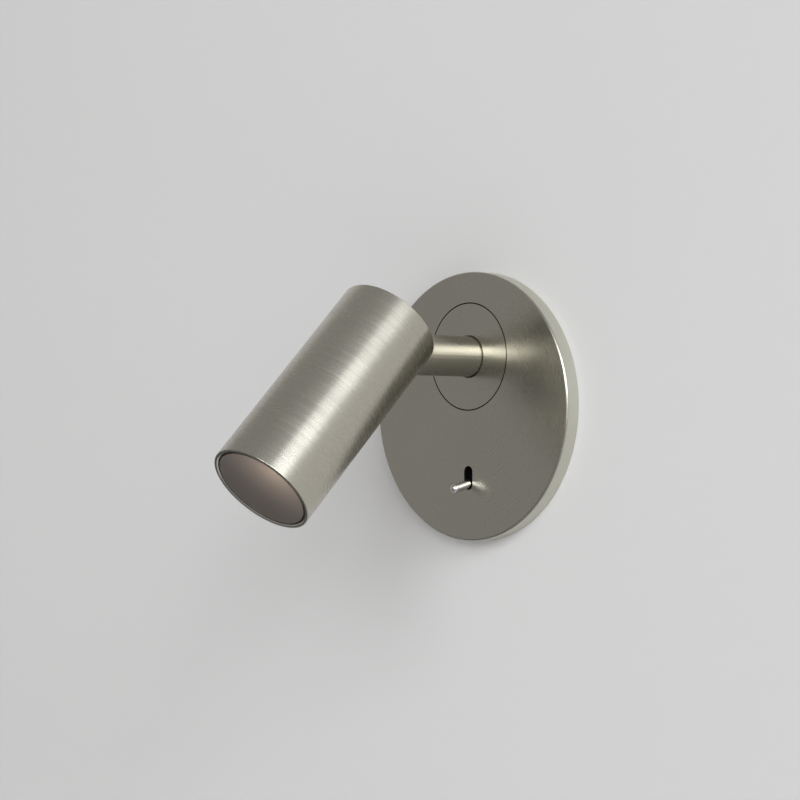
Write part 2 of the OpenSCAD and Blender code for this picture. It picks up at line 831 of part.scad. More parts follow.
module stem_lead() {
    color([0.90, 0.90, 0.88]) on_stem() disc(lead_r, -stem_tail, pivot_out - lead_exit_back);
}

// Head, which tilts on the pivot pin

// What the stem needs open as the head tilts from in line to square to it
module stem_sweep() {
    far = head_r + cut;
    translate([-slot_half, -far, -head_rear - cut]) cube([2 * slot_half, far, head_rear + cut]);
    rotate([90, 0, 0]) cylinder(r = slot_half, h = far);
    disc(slot_half, -head_rear - cut, 0);
}

module head_tube() {
    color([0.62, 0.60, 0.54]) on_head() difference() {
        rotate_extrude($fn = 180) difference() {
            union() {
                rounded_edge_outline(head_r, head_front, head_edge_r);
                mirror([0, 1]) rounded_edge_outline(head_r, head_rear, head_edge_r);
            }
            translate([0, -head_rear - cut]) square([bore_r, head_front + head_rear + 2 * cut]);
            translate([0, head_front]) polygon([
                [bore_r - cut, -head_bevel], [bore_r, -head_bevel], [bore_r + head_bevel, 0],
                [bore_r + head_bevel, cut], [bore_r - cut, cut]
            ]);
        }
        stem_sweep();
        translate([0, 0, grub_at]) rotate([90, 0, 0]) cylinder(r = grub_r, h = head_r + cut);
    }
}

module rear_cap() {
    color([0.62, 0.60, 0.54]) on_head() difference() {
        disc(bore_r - seat_gap, -head_rear, cap_front);
        stem_sweep();
    }
}

module heat_sink() {
    pitch = sink_l / (fin_count + 1);
    color([0.78, 0.79, 0.80]) on_head() difference() {
        union() {
            disc(sink_r, sink_back, sink_front);
            intersection() {
                disc(sink_r, cap_front + seat_gap, sink_back + cut);
                for (side = [0, 1]) mirror([side, 0, 0]) translate([cheek_in, -sink_r, cap_front])
                    cube([sink_r, 2 * sink_r, sink_back - cap_front + cut]);
            }
        }
        for (i = [1:fin_count]) translate([0, 0, sink_back + i * pitch])
            ring(sink_r + cut, sink_r - fin_depth, -fin_gap / 2, fin_gap / 2);
        cross_pin(pivot_pin_r, -head_r, head_r);
        translate([0, board_lead_at, 0]) disc(board_lead_r + drop_gap, sink_back - cut, sink_front + cut);
        for (side = [-1, 1]) translate([side * board_screw_at, 0, 0])
            disc(board_screw_r, sink_front - board_screw_l, sink_front + cut);
        translate([0, 0, grub_at]) rotate([90, 0, 0]) cylinder(r = grub_r, h = head_r + cut);
    }
}

module pivot_pin() {
    reach = bore_r - pivot_pin_end;
    color([0.70, 0.70, 0.72]) on_head() cross_pin(pivot_pin_r, -reach, reach);
}

module friction_washers() {
    color([0.92, 0.91, 0.86]) on_head() for (side = [0, 1]) mirror([side, 0, 0]) difference() {
        cross_pin(washer_r, tongue_half + washer_gap, cheek_in);
        cross_pin(pivot_pin_r + seat_gap, 0, head_r);
    }
}

module led_board() {
    color([0.92, 0.93, 0.92]) on_head() difference() {
        disc(board_r, sink_front, sink_front + board_t);
        for (side = [-1, 1]) translate([side * board_screw_at, 0, 0])
            disc(board_screw_r + screw_hole_gap, sink_front - cut, sink_front + board_t + cut);
    }
}

module led_chip() {
    color([0.95, 0.80, 0.30]) on_head() disc(chip_r, sink_front + board_t, sink_front + board_t + chip_t);
}

module board_screws() {
    color([0.78, 0.79, 0.80]) on_head() for (side = [-1, 1])
        translate([side * board_screw_at, 0, sink_front + board_t])
            pan_screw(board_screw_r, board_screw_l, board_screw_head_r, board_screw_head_h);
}

module board_lead() {
    color([0.90, 0.90, 0.88]) on_head() translate([0, board_lead_at, 0])
        disc(board_lead_r, sink_back - board_lead_tail, sink_front);
}

module reflector() {
    throat = reflector_back + board_screw_head_h + seat_gap;
    slope = (reflector_mouth_r - reflector_throat_r) / (reflector_front - throat);
    rim = reflector_front - reflector_t;
    color([0.86, 0.86, 0.86]) on_head() rotate_extrude() polygon([
        [reflector_throat_r, throat], [reflector_mouth_r, reflector_front],
        [gasket_r, reflector_front], [gasket_r, rim],
        [reflector_mouth_r + reflector_t - slope * reflector_t, rim],
        [reflector_throat_r + reflector_t, throat]
    ]);
}

module lens_gasket() {
    color([0.05, 0.05, 0.05]) on_head() difference() {
        disc(gasket_r, gasket_back, lens_front - gasket_set_back);
        disc(gasket_r - gasket_lip, gasket_back - cut, head_front);
        disc(lens_r + seat_gap, lens_back - seat_gap, head_front);
    }
}

// The lens's front is a shallow dish
module lens() {
    mouth_r = lens_r - lens_rim;
    dish_r = (mouth_r * mouth_r + lens_dish * lens_dish) / (2 * lens_dish);
    color([0.42, 0.35, 0.31]) on_head() difference() {
        disc(lens_r, lens_back, lens_front);
        translate([0, 0, lens_front - lens_dish + dish_r]) sphere(dish_r, $fn = 240);
    }
}

module tube_grub_screw() {
    color([0.25, 0.25, 0.26]) on_head() translate([0, -head_r + grub_set_back, grub_at]) rotate([-90, 0, 0])
        difference() {
            cylinder(r = grub_r - seat_gap, h = grub_l);
            translate([0, 0, -cut]) cylinder(r = hex_recess_r, h = hex_recess_depth + cut, $fn = 6);
        }
}

faceplate();
plate_magnets();
recess_can();
can_base();
can_flange();
can_lugs();
chassis_plate();
chassis_screws();
turret();
turret_screws();
stop_peg();
stem_bush();
wave_washer();
switch_bracket();
bracket_rivets();
switch_body();
switch_bushing();
switch_lock_washer();
switch_nut();
switch_pin();
switch_terminals();
switch_lever();
led_driver();
driver_pad();
output_lead();
terminal_block();
terminal_screws();
cable_grommet();
earth_tag();
earth_screw();
live_wire();
switched_wire();
neutral_wire();
earth_wire();
stem();
retaining_ring();
stop_pin();
stem_lead();
head_tube();
rear_cap();
heat_sink();
pivot_pin();
friction_washers();
led_board();
led_chip();
board_screws();
board_lead();
reflector();
lens_gasket();
lens();
tube_grub_screw();
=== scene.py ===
# Recessed wall lamp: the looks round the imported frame
import math

import bmesh
import bpy
from mathutils import Matrix, Vector


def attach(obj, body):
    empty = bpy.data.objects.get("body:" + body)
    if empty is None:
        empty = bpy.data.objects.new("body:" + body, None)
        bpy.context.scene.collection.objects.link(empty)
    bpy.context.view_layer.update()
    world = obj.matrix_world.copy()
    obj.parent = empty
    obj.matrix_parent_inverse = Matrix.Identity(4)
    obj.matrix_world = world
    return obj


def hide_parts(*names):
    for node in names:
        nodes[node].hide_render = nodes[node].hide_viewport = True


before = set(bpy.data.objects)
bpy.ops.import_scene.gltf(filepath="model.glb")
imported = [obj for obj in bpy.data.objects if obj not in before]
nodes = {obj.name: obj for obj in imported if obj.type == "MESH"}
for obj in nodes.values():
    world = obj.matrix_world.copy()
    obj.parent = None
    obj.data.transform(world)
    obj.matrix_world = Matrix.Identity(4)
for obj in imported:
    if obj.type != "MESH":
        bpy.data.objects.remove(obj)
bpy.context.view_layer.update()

# Sizes are in millimetres and the scene is in metres
MM = 0.001
scene = bpy.context.scene


# Camera, fitted to the outlines in the photograph
CAMERA_PLACE = (0.552913, -0.546488, -0.011527)
CAMERA_PITCH = 91.0289
CAMERA_YAW = 47.5416
CAMERA_LENS = 93.55
SENSOR = 36.0

camera_data = bpy.data.cameras.new("camera")
camera_data.lens = CAMERA_LENS
camera_data.sensor_width = SENSOR
camera = bpy.data.objects.new("camera", camera_data)
camera.location = CAMERA_PLACE
camera.rotation_euler = (math.radians(CAMERA_PITCH), 0.0, math.radians(CAMERA_YAW))
scene.collection.objects.link(camera)
scene.camera = camera
scene.view_settings.view_transform = "Standard"


# Colours and nodes
NOISE_LOW = 0.3
NOISE_HIGH = 0.7


def linear(text):
    """An sRGB hex value as linear colour."""
    parts = [int(text[i:i + 2], 16) / 255 for i in (0, 2, 4)]
    return tuple(c / 12.92 if c <= 0.04045 else ((c + 0.055) / 1.055) ** 2.4 for c in parts) + (1.0,)


def add(tree, kind, inputs=None, **settings):
    """A node with its settings, and its sockets set to values or linked to other sockets."""
    node = tree.nodes.new(kind)
    for key, value in settings.items():
        setattr(node, key, value)
    for key, value in (inputs or {}).items():
        if isinstance(value, bpy.types.NodeSocket):
            tree.links.new(value, node.inputs[key])
        else:
            node.inputs[key].default_value = value
    return node


def new_material(name):
    material = bpy.data.materials.new(name)
    material.use_nodes = True
    tree = material.node_tree
    tree.nodes.clear()
    return material, tree


def finish_shader(tree, shader):
    add(tree, "ShaderNodeOutputMaterial", {"Surface": shader.outputs[0]})


def blend_colours(tree, factor, low, high):
    """Low and high are hex colours, or colours from another node."""
    ends = [linear(end) if isinstance(end, str) else end for end in (low, high)]
    return add(tree, "ShaderNodeMix", {0: factor, 6: ends[0], 7: ends[1]}, data_type="RGBA").outputs[2]


def spread(tree, value, low, high):
    """A noise value, which lies round a half, stretched to a range."""
    return add(tree, "ShaderNodeMapRange", {
        "Value": value, "From Min": NOISE_LOW, "From Max": NOISE_HIGH,
        "To Min": low, "To Max": high}).outputs[0]


# Where the parts sit in the row frame: x right, z up, y into the wall
STEM_UP = 18.5
PIVOT_OUT = 56.9
SWITCH_DOWN = 26.6
TILT = math.radians(45)
LEVEL = Matrix.Identity(4)
ALONG_Y = Matrix.Rotation(math.radians(90), 4, "X")
ON_WALL = ALONG_Y
ON_STEM = Matrix.Translation((0, 0, STEM_UP * MM)) @ ON_WALL
ON_HEAD = ON_STEM @ Matrix.Translation((0, 0, PIVOT_OUT * MM)) @ Matrix.Rotation(TILT, 4, "X")


# Brushed nickel

# The wheel's real strokes lie about 0.1 mm apart, too fine to show from here, so they are drawn 0.3 to 0.5 mm
# apart, and a set four times as broad lies over them. The smudges are as wide as a fingertip's mark
BROAD_STROKE = 4.0
BROAD_REACH = 2.0
STROKE_DEPTH = 0.03
STROKE_DETAIL = 3.0
STROKE_EDGE = 0.6
SMUDGE_SIZE = 14.0
SMUDGE_DETAIL = 2.0
SMUDGE_EDGE = 0.5
SMUDGE_WEAR = 0.02
QUARTER_TURN = 0.25


def brush_lines(tree, place, spacing, reach, rings):
    """Noise drawn out along the brush strokes. The strokes run round the local z axis of place: as rings on a
    flat face where rings is true, and as turns at each height on a round bar where it is false."""
    coordinates = add(tree, "ShaderNodeTexCoord").outputs["Object"]
    back = place.inverted()
    turned = add(tree, "ShaderNodeMapping", {
        "Vector": coordinates, "Location": back.to_translation(), "Rotation": back.to_euler()}).outputs[0]
    split = add(tree, "ShaderNodeSeparateXYZ", {0: turned})
    if rings:
        flat = add(tree, "ShaderNodeCombineXYZ", {0: split.outputs[0], 1: split.outputs[1]})
        across = add(tree, "ShaderNodeVectorMath", {0: flat.outputs[0]}, operation="LENGTH").outputs["Value"]
    else:
        across = split.outputs[2]
    slow = 1 / (reach * MM)
    fast = 1 / (spacing * MM)
    along_x = add(tree, "ShaderNodeMath", {0: split.outputs[0], 1: slow}, operation="MULTIPLY").outputs[0]
    along_y = add(tree, "ShaderNodeMath", {0: split.outputs[1], 1: slow}, operation="MULTIPLY").outputs[0]
    cross = add(tree, "ShaderNodeMath", {0: across, 1: fast}, operation="MULTIPLY").outputs[0]
    vector = add(tree, "ShaderNodeCombineXYZ", {0: along_x, 1: along_y, 2: cross}).outputs[0]
    return add(tree, "ShaderNodeTexNoise", {
        "Vector": vector, "Scale": 1.0, "Detail": STROKE_DETAIL, "Roughness": STROKE_EDGE}).outputs[0]


def smudges(tree, size):
    """Cloudy noise with spots of the given size."""
    coordinates = add(tree, "ShaderNodeTexCoord").outputs["Object"]
    return add(tree, "ShaderNodeTexNoise", {
        "Vector": coordinates, "Scale": 1 / (size * MM), "Detail": SMUDGE_DETAIL,
        "Roughness": SMUDGE_EDGE}).outputs[0]


def brushed_metal(name, place, rings, dark, light, rough, swing, spacing, reach, bump, anisotropy,
                  along_map=False):
    """Nickel plate on brass, brushed round with a fine wheel: the strokes smear what it mirrors across them.
    The smear follows the piece's UV map where along_map is true, and circles round the wall's normal if not."""
    material, tree = new_material(name)
    fine = brush_lines(tree, place, spacing, reach, rings)
    broad = brush_lines(tree, place, spacing * BROAD_STROKE, reach * BROAD_REACH, rings)
    both = add(tree, "ShaderNodeMath", {0: fine, 1: broad}, operation="ADD").outputs[0]
    strokes = add(tree, "ShaderNodeMath", {0: both, 1: 0.5}, operation="MULTIPLY").outputs[0]
    cloud = smudges(tree, SMUDGE_SIZE)
    base = spread(tree, strokes, rough - swing, rough + swing)
    wear = spread(tree, cloud, -SMUDGE_WEAR, SMUDGE_WEAR)
    worn = add(tree, "ShaderNodeMath", {0: base, 1: wear}, operation="ADD").outputs[0]
    height = add(tree, "ShaderNodeBump", {
        "Height": strokes, "Strength": bump, "Distance": STROKE_DEPTH * MM}).outputs[0]
    if along_map:
        direction = add(tree, "ShaderNodeTangent", direction_type="UV_MAP", uv_map="brush").outputs[0]
        turn = 0.0
    else:
        direction = add(tree, "ShaderNodeTangent", direction_type="RADIAL", axis="Y").outputs[0]
        turn = QUARTER_TURN
    shader = add(tree, "ShaderNodeBsdfPrincipled", {
        "Base Color": blend_colours(tree, strokes, dark, light), "Metallic": 1.0, "Roughness": worn,
        "Normal": height, "Anisotropic": anisotropy, "Anisotropic Rotation": turn, "Tangent": direction})
    finish_shader(tree, shader)
    return material


NICKEL_DARK = "bdb9ac"
NICKEL_LIGHT = "c0bcaf"
STEM_DARK = "bebaad"
RIM_DARK = "cbcabe"
RIM_LIGHT = "cfcec2"
# Face brushed in rings: a bright fan where a lamp is mirrored along the radius
RING_BRUSH = {"rough": 0.27, "swing": 0.02, "spacing": 0.4, "reach": 60.0, "bump": 0.015, "anisotropy": 0.5}
# Bar polished to satin: smooth, with one soft highlight along it
SATIN_BAR = {"rough": 0.28, "swing": 0.004, "spacing": 0.5, "reach": 10.0, "bump": 0.003, "anisotropy": 0.2}
# Turned rim, blasted and plated: duller and paler than the face
SATIN_RIM = {"rough": 0.36, "swing": 0.02, "spacing": 0.3, "reach": 25.0, "bump": 0.02, "anisotropy": 0.3}
# Tube brushed round on a lathe: fine lines across a bright stripe
TURN_BRUSH = {"rough": 0.27, "swing": 0.035, "spacing": 0.45, "reach": 60.0, "bump": 0.05, "anisotropy": 0.6}

nickel_plate = brushed_metal("nickel_brushed_in_rings", ON_WALL, True, NICKEL_DARK, NICKEL_LIGHT,
                             **RING_BRUSH)
nickel_disc = brushed_metal("nickel_brushed_disc", ON_WALL, True, NICKEL_DARK, NICKEL_LIGHT, **RING_BRUSH)
nickel_stem = brushed_metal("nickel_satin_bar", ON_STEM, False, STEM_DARK, NICKEL_LIGHT, **SATIN_BAR)
nickel_rim = brushed_metal("nickel_satin_rim", ON_WALL, False, RIM_DARK, RIM_LIGHT, **SATIN_RIM)
nickel_tube = brushed_metal("nickel_brushed_tube", ON_HEAD, False, NICKEL_DARK, NICKEL_LIGHT,
                            along_map=True, **TURN_BRUSH)


# Plain finishes of the fittings
FITTING_RELIEF = 0.02
FITTING_SWING = 0.06
LEAST_ROUGH = 0.02


def fitting_finish(name, low, high, metallic, rough, grain, bump, swing=FITTING_SWING):
    """A finish from one noise of the given grain: colour, roughness and height all follow it."""
    material, tree = new_material(name)
    noise = smudges(tree, grain)
    height = add(tree, "ShaderNodeBump", {
        "Height": noise, "Strength": bump, "Distance": FITTING_RELIEF * MM}).outputs[0]
    shader = add(tree, "ShaderNodeBsdfPrincipled", {
        "Base Color": blend_colours(tree, noise, low, high), "Metallic": metallic,
        "Roughness": spread(tree, noise, max(rough - swing, LEAST_ROUGH), rough + swing), "Normal": height})
    finish_shader(tree, shader)
    return material


# Each finish gives its darker and lighter colour, metallic, roughness, grain in mm and depth of grain, and then
# the nodes that wear it. Real marks of grinding, turning and moulding are under 0.2 mm and wouldn't show, so
# their grain is drawn 0.35 mm wide or more
FITTINGS = {
    # Galvanised sheet: pale grey with cloudy crystals
    "galvanised_steel": (("a3a7aa", "bcc0c2", 1.0, 0.42, 2.5, 0.3),
                         ["recess_can", "can_base", "can_flange", "can_lugs", "chassis_plate",
                          "switch_bracket"]),
    # Zinc-plated steel screws: bright, slightly blue
    "zinc_plated_steel": (("b9bfc6", "cfd3d6", 1.0, 0.25, 0.8, 0.15),
                          ["chassis_screws", "turret_screws", "bracket_rivets", "board_screws",
                           "terminal_screws"]),
    # Nickel-plated magnets: hard bright plating
    "nickel_plated_magnet": (("b4b5b4", "c8c8c5", 1.0, 0.15, 1.5, 0.08), ["plate_magnets"]),
    # Ground hardened steel pins: grey with a fine grain
    "hardened_steel": (("8a8b8d", "a2a3a4", 1.0, 0.3, 0.4, 0.2),
                       ["stop_peg", "stop_pin", "switch_pin", "pivot_pin"]),
    # Oil-blackened spring steel: dark and slightly glossy
    "spring_steel": (("3b3b3d", "4d4d4f", 1.0, 0.35, 0.8, 0.2), ["wave_washer", "retaining_ring"]),
    # Black oxide on steel: a dull near-black
    "black_oxide_steel": (("242426", "333335", 1.0, 0.45, 0.5, 0.2), ["tube_grub_screw"]),
    # Nickel-plated brass threads of the switch: warm and bright
    "nickel_plated_brass": (("bdbdb6", "d0cfc7", 1.0, 0.22, 0.6, 0.15),
                            ["switch_bushing", "switch_lock_washer", "switch_nut"]),
    # Tinned brass tags: soft white metal
    "tinned_brass": (("c4c1b4", "d6d3c6", 1.0, 0.35, 0.7, 0.2), ["switch_terminals", "earth_tag"]),
    # Turned brass: yellow, with fine marks
    "yellow_brass": (("c2a35a", "d6b96f", 1.0, 0.25, 0.5, 0.15), ["earth_screw"]),
    # Extruded aluminium of the heat sink, faced on a lathe: pale with fine marks
    "extruded_aluminium": (("b7b9bb", "cfd0d2", 1.0, 0.35, 0.5, 0.3), ["heat_sink"]),
    # Black nylon: dull, moulded
    "black_nylon": (("1a1a1a", "262626", 0.0, 0.5, 0.6, 0.2), ["stem_bush"]),
    # Blue phenolic switch body: glossy, moulded
    "blue_phenolic": (("1f2c4a", "2b3a5c", 0.0, 0.35, 0.7, 0.15), ["switch_body"]),
    # White acetal washers: waxy
    "white_acetal": (("e6e4d9", "f1efe6", 0.0, 0.4, 0.9, 0.1), ["friction_washers"]),
    # White polycarbonate housings, moulded: a fine even texture
    "white_polycarbonate": (("e2e2dc", "efefea", 0.0, 0.45, 0.35, 0.3), ["led_driver", "terminal_block"]),
    # Grey foam tape: coarse cells, quite dull
    "grey_foam_tape": (("2b2b2b", "454545", 0.0, 0.9, 0.5, 0.8), ["driver_pad"]),
    # Extruded PVC sheaths: slightly glossy, each in its wire's colour
    "white_pvc": (("dcdcd6", "e8e8e3", 0.0, 0.4, 1.2, 0.1), ["output_lead", "stem_lead", "board_lead"]),
    "brown_pvc": (("6b3d20", "7c4a29", 0.0, 0.4, 1.0, 0.1), ["live_wire"]),
    "black_pvc": (("2a2a2e", "38383c", 0.0, 0.4, 1.0, 0.1), ["switched_wire"]),
    "blue_pvc": (("1f4f9c", "2c5fae", 0.0, 0.4, 1.0, 0.1), ["neutral_wire"]),
    "green_pvc": (("4f8f2f", "61a33c", 0.0, 0.4, 1.0, 0.1), ["earth_wire"]),
    # Moulded rubber: dull black with a soft sheen
    "black_rubber": (("121212", "1d1d1d", 0.0, 0.6, 0.5, 0.3), ["cable_grommet"]),
    # White solder mask on the board: glossy
    "solder_mask_board": (("e4e7e4", "f0f2f0", 0.0, 0.3, 1.0, 0.1), ["led_board"]),
    # Phosphor under clear silicone: yellow and glossy
    "led_phosphor": (("e0b040", "f0c858", 0.0, 0.2, 0.8, 0.1), ["led_chip"]),
    # Vacuum-metallised plastic: a bright mirror with faint orange peel
    "metallised_reflector": (("c9c9c9", "dadada", 1.0, 0.12, 1.8, 0.15), ["reflector"]),
}
for finish_name, (values, wearers) in FITTINGS.items():
    finish_material = fitting_finish(finish_name, *values)
    for wearer in wearers:
        for one in nodes[wearer].material_slots:
            one.material = finish_material
for one in nodes["stem"].material_slots:
    one.material = nickel_stem

# Nickel at the tube's cut end, unbrushed and duller, and painted a darker grey than the tube: painted shade for
# the dark that the end face mirrors
cut_end_painted_shade = fitting_finish("nickel_cut_end", "787672", "84827d", metallic=1.0, rough=0.35, grain=0.6, bump=0.2)
# Nickel walls of the seams round the disc and the switch, painted nearly black: painted shade, as little light
# gets in
seam_painted_shade = fitting_finish("seam_painted_shade", "1f1e1b", "2c2a26", metallic=1.0, rough=0.6, grain=0.6, bump=0.2)
# Lever polished on a soft wheel: bright, with a narrow highlight
polished = fitting_finish("nickel_polished", "dedcd6", "e6e4df", metallic=1.0, rough=0.22, grain=3.0,
                          bump=0.03, swing=0.02)
# Moulded rubber ring: dull black
rubber = fitting_finish("black_rubber_ring", "0b0b0b", "151515", metallic=0.0, rough=0.55, grain=0.5,
                        bump=0.3)


# Shapes made by turning
TURN_STEPS = 192
WELD = 1e-7
SLIVER = 1e-8
SAME_PLACE = 1e-6
CORNER_STEPS = 5
CUTTER_STEPS = 96
UV_SPAN = 100.0
SHARP = math.radians(28)
FACE_WEIGHT = 50


def turned_shape(outline, steps=TURN_STEPS):
    """A closed outline of (radius, height) in mm, spun round z. A rounded corner is (radius, height, round)."""
    bm = bmesh.new()
    verts = [bm.verts.new((p[0] * MM, 0, p[1] * MM)) for p in outline]
    edges = [bm.edges.new((verts[i], verts[(i + 1) % len(verts)])) for i in range(len(verts))]
    bmesh.ops.spin(bm, geom=verts + edges, cent=(0, 0, 0), axis=(0, 0, 1), angle=math.tau, steps=steps,
                   use_merge=True, use_duplicate=False)
    bmesh.ops.remove_doubles(bm, verts=bm.verts, dist=WELD)
    bmesh.ops.dissolve_degenerate(bm, edges=bm.edges, dist=SLIVER)
    bmesh.ops.recalc_face_normals(bm, faces=bm.faces)
    for p in outline:
        if len(p) == 3:
            round_corner(bm, p[0] * MM, p[1] * MM, p[2] * MM)
    return bm


def round_corner(bm, radius, height, amount):
    def on_corner(v):
        return abs(math.hypot(v.co.x, v.co.y) - radius) < SAME_PLACE and abs(v.co.z - height) < SAME_PLACE
    rim = [e for e in bm.edges if all(on_corner(v) for v in e.verts)]
    bmesh.ops.bevel(bm, geom=rim, offset=amount, offset_type="OFFSET", segments=CORNER_STEPS, profile=0.5,
                    affect="EDGES", material=-1, clamp_overlap=True)


def brush_map(bm):
    """The piece's UV map: u runs across the brush strokes as a length, v along them as a share of the turn."""
    layer = bm.loops.layers.uv.new("brush")
    for face in bm.faces:
        middle = face.calc_center_median()
        middle_angle = math.atan2(middle.y, middle.x)
        for loop in face.loops:
            co = loop.vert.co
            angle = math.atan2(co.y, co.x)
            angle += math.tau * round((middle_angle - angle) / math.tau)
            radius = math.hypot(co.x, co.y)
            loop[layer].uv = ((co.z + radius) / (UV_SPAN * MM), angle / math.tau)


def box_cutter(low, high):
    bm = bmesh.new()
    bmesh.ops.create_cube(bm, size=1)
    size = [(h - l) * MM for l, h in zip(low, high)]
    middle = Vector([(h + l) / 2 * MM for l, h in zip(low, high)])
    bmesh.ops.scale(bm, vec=size, verts=bm.verts)
    bmesh.ops.translate(bm, vec=middle, verts=bm.verts)
    return bm


def rod_cutter(radius, length, turn, middle, segments=CUTTER_STEPS):
    bm = bmesh.new()
    bmesh.ops.create_cone(bm, cap_ends=True, segments=segments, radius1=radius * MM, radius2=radius * MM,
                          depth=length * MM, matrix=Matrix.Translation(Vector(middle) * MM) @ turn)
    return bm


def as_object(bm, name):
    mesh = bpy.data.meshes.new(name)
    bm.to_mesh(mesh)
    bm.free()
    thing = bpy.data.objects.new(name, mesh)
    scene.collection.objects.link(thing)
    return thing


def cut_away(thing, cutters):
    for cutter_shape in cutters:
        cutter = as_object(cutter_shape, "cutter")
        cut = thing.modifiers.new("cut", "BOOLEAN")
        cut.operation = "DIFFERENCE"
        cut.solver = "EXACT"
        cut.object = cutter
        bpy.context.view_layer.update()
        result = bpy.data.meshes.new_from_object(thing.evaluated_get(bpy.context.evaluated_depsgraph_get()))
        thing.modifiers.clear()
        thing.data = result
        bpy.data.objects.remove(cutter)


def settle(thing, place, material, body, slot_name, *stands_for):
    """Puts a finished shape at its place in the row frame and hands it to the frame."""
    thing.data.transform(place)
    thing.data.materials.clear()
    thing.data.materials.append(material)
    thing.data.polygons.foreach_set("use_smooth", [True] * len(thing.data.polygons))
    thing.data.set_sharp_from_angle(angle=SHARP)
    flatten = thing.modifiers.new("flat_faces", "WEIGHTED_NORMAL")
    flatten.mode = "FACE_AREA"
    flatten.weight = FACE_WEIGHT
    flatten.keep_sharp = True
    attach(thing, body)
    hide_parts(*stands_for)


# Faceplate: a shallow cup with a rounded front edge
PLATE_R = 50.0
PLATE_DEPTH = 6.2
PLATE_BACK = 3.8
PLATE_STEPS = 256
RIM_WALL = 2.2
PLATE_ROUND = 0.8
BACK_ROUND = 0.4
DISC_R = 19.7
DISC_HOLE_R = 20.15
SLOT_W = 4.4
SLOT_H = 8.9
SLOT_STEPS = 64
OVERRUN = 1.0
UPRIGHT = 0.05


def slot_cutter():
    """A prism as wide and high as the switch slot, with round ends."""
    reach = (SLOT_H - SLOT_W) / 2
    bm = bmesh.new()
    made = bmesh.ops.create_circle(bm, cap_ends=True, segments=SLOT_STEPS, radius=SLOT_W / 2 * MM)
    for v in made["verts"]:
        v.co.y += math.copysign(reach * MM, v.co.y)
    raised = bmesh.ops.extrude_face_region(bm, geom=list(bm.faces))
    top = [g for g in raised["geom"] if isinstance(g, bmesh.types.BMVert)]
    bmesh.ops.translate(bm, vec=(0, 0, (PLATE_DEPTH + OVERRUN) * MM), verts=top)
    bmesh.ops.translate(bm, vec=(0, -SWITCH_DOWN * MM, 0), verts=bm.verts)
    bmesh.ops.recalc_face_normals(bm, faces=bm.faces)
    return bm


plate_inside_r = PLATE_R - RIM_WALL
plate_shape = turned_shape([
    (0, PLATE_BACK), (plate_inside_r, PLATE_BACK), (plate_inside_r, 0), (PLATE_R, 0, BACK_ROUND),
    (PLATE_R, PLATE_DEPTH, PLATE_ROUND), (0, PLATE_DEPTH)], PLATE_STEPS)
faceplate = as_object(plate_shape, "faceplate_brushed")
disc_hole = rod_cutter(DISC_HOLE_R, 4 * PLATE_DEPTH, LEVEL, (0, STEM_UP, 0), TURN_STEPS)
cut_away(faceplate, [disc_hole, slot_cutter()])
settle(faceplate, ON_WALL, nickel_plate, "wall_unit", "brushed_nickel", "faceplate")
faceplate.data.materials.append(nickel_rim)
faceplate.data.materials.append(seam_painted_shade)
# Side walls: the outer rim takes the rim finish, and the walls inside, round the disc hole and the switch slot,
# take the near-black painted shade
for facet in faceplate.data.polygons:
    if abs(facet.normal.y) < UPRIGHT:
        outside = math.hypot(facet.center.x, facet.center.z) > (PLATE_R - RIM_WALL / 2) * MM
        facet.material_index = 1 if outside else 2

# Flush disc with its boss and spigot, and a thin lip at the stem's foot
FOOT_GAP_R = 8.35
BOSS_R = 17.5
SPIGOT_R = 12.0
SPIGOT_L = 8.0
CHASSIS_T = 1.6
BUSH_R = 8.6
BUSH_FRONT = 3.2
LIP_R = 7.65
LIP_T = 1.2
LIP_ROUND = 0.5
disc_shape = turned_shape([
    (LIP_R, PLATE_DEPTH, LIP_ROUND), (DISC_R, PLATE_DEPTH), (DISC_R, PLATE_BACK),
    (BOSS_R, PLATE_BACK), (BOSS_R, CHASSIS_T), (SPIGOT_R, CHASSIS_T), (SPIGOT_R, -SPIGOT_L),
    (BUSH_R, -SPIGOT_L), (BUSH_R, BUSH_FRONT), (FOOT_GAP_R, BUSH_FRONT),
    (FOOT_GAP_R, PLATE_DEPTH - LIP_T), (LIP_R, PLATE_DEPTH - LIP_T)])
flush_disc = as_object(disc_shape, "flush_disc")
settle(flush_disc, ON_STEM, nickel_disc, "wall_unit", "brushed_nickel", "turret")
flush_disc.data.materials.append(seam_painted_shade)
# The disc's side walls, in the seams round it and round the stem, take the near-black painted shade
for facet in flush_disc.data.polygons:
    if abs(facet.normal.y) < UPRIGHT:
        facet.material_index = 1

# Head tube, open at the front, with the slot for the stem behind
HEAD_R = 19.1
BORE_R = 17.7
HEAD_FRONT = 67.55
HEAD_REAR = 15.1
HEAD_ROUND = 0.25
BORE_ROUND = 0.2
BEVEL = 0.4
SWEEP = 8.1
CAP_T = 2.0
CAP_R = 17.65
GRUB_AT = 30.0
GRUB_R = 1.5
GRUB_STEPS = 32
BAND = 4.0
FIRST_BAND = -3
LAST_BAND = 16
END_ON = 0.99


def stem_sweep():
    """What the stem needs open as the head tilts."""
    far = HEAD_R + OVERRUN
    behind = HEAD_REAR + OVERRUN
    return [box_cutter((-SWEEP, -far, -behind), (SWEEP, 0, 0)),
            rod_cutter(SWEEP, far, ALONG_Y, (0, -far / 2, 0)),
            rod_cutter(SWEEP, behind, LEVEL, (0, 0, -behind / 2))]


def grub_hole():
    depth = HEAD_R + OVERRUN
    return rod_cutter(GRUB_R, depth, ALONG_Y, (0, -depth / 2, GRUB_AT), GRUB_STEPS)


